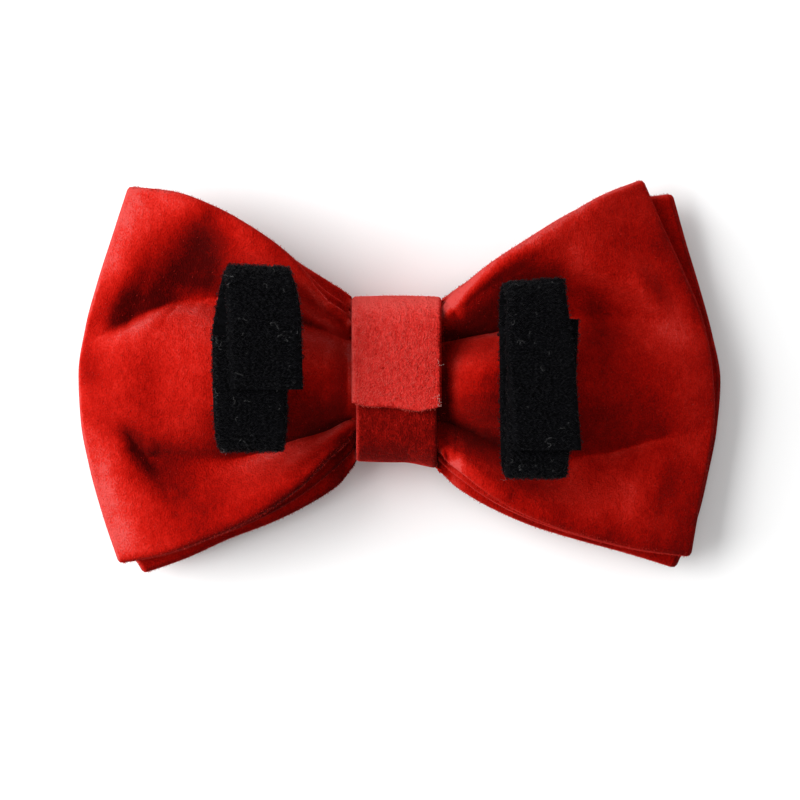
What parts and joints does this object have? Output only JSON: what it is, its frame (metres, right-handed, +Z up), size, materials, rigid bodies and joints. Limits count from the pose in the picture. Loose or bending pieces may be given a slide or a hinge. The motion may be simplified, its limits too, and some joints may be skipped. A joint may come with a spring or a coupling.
{
  "type": "dog collar bow tie",
  "caption": "Double-layer velvet bow tie with a wrapped centre band and fabric hook-and-loop straps on its back that hold it on a pet collar.",
  "frame": {"origin": "middle of the box round the part, on the surface that the bow's front lies on", "axes": "+X to the picture's right along the bow, +Y to the picture's top across it, +Z up from the surface to the straps on the bow's back"},
  "size_m": [0.1198, 0.0732, 0.0318],
  "materials": {
    "velvet": "deep red cotton velvet with a short brushed pile",
    "band_velvet": "the same red velvet brushed the other way, so it looks lighter",
    "loop_tape": "black fuzzy loop tape with a few pale fibres"
  },
  "bodies": {
    "root": {"back_bow": "velvet", "front_bow": "velvet", "centre_band": "band_velvet", "left_collar_strap": "loop_tape", "right_collar_strap": "loop_tape"}
  },
  "joints": []
}
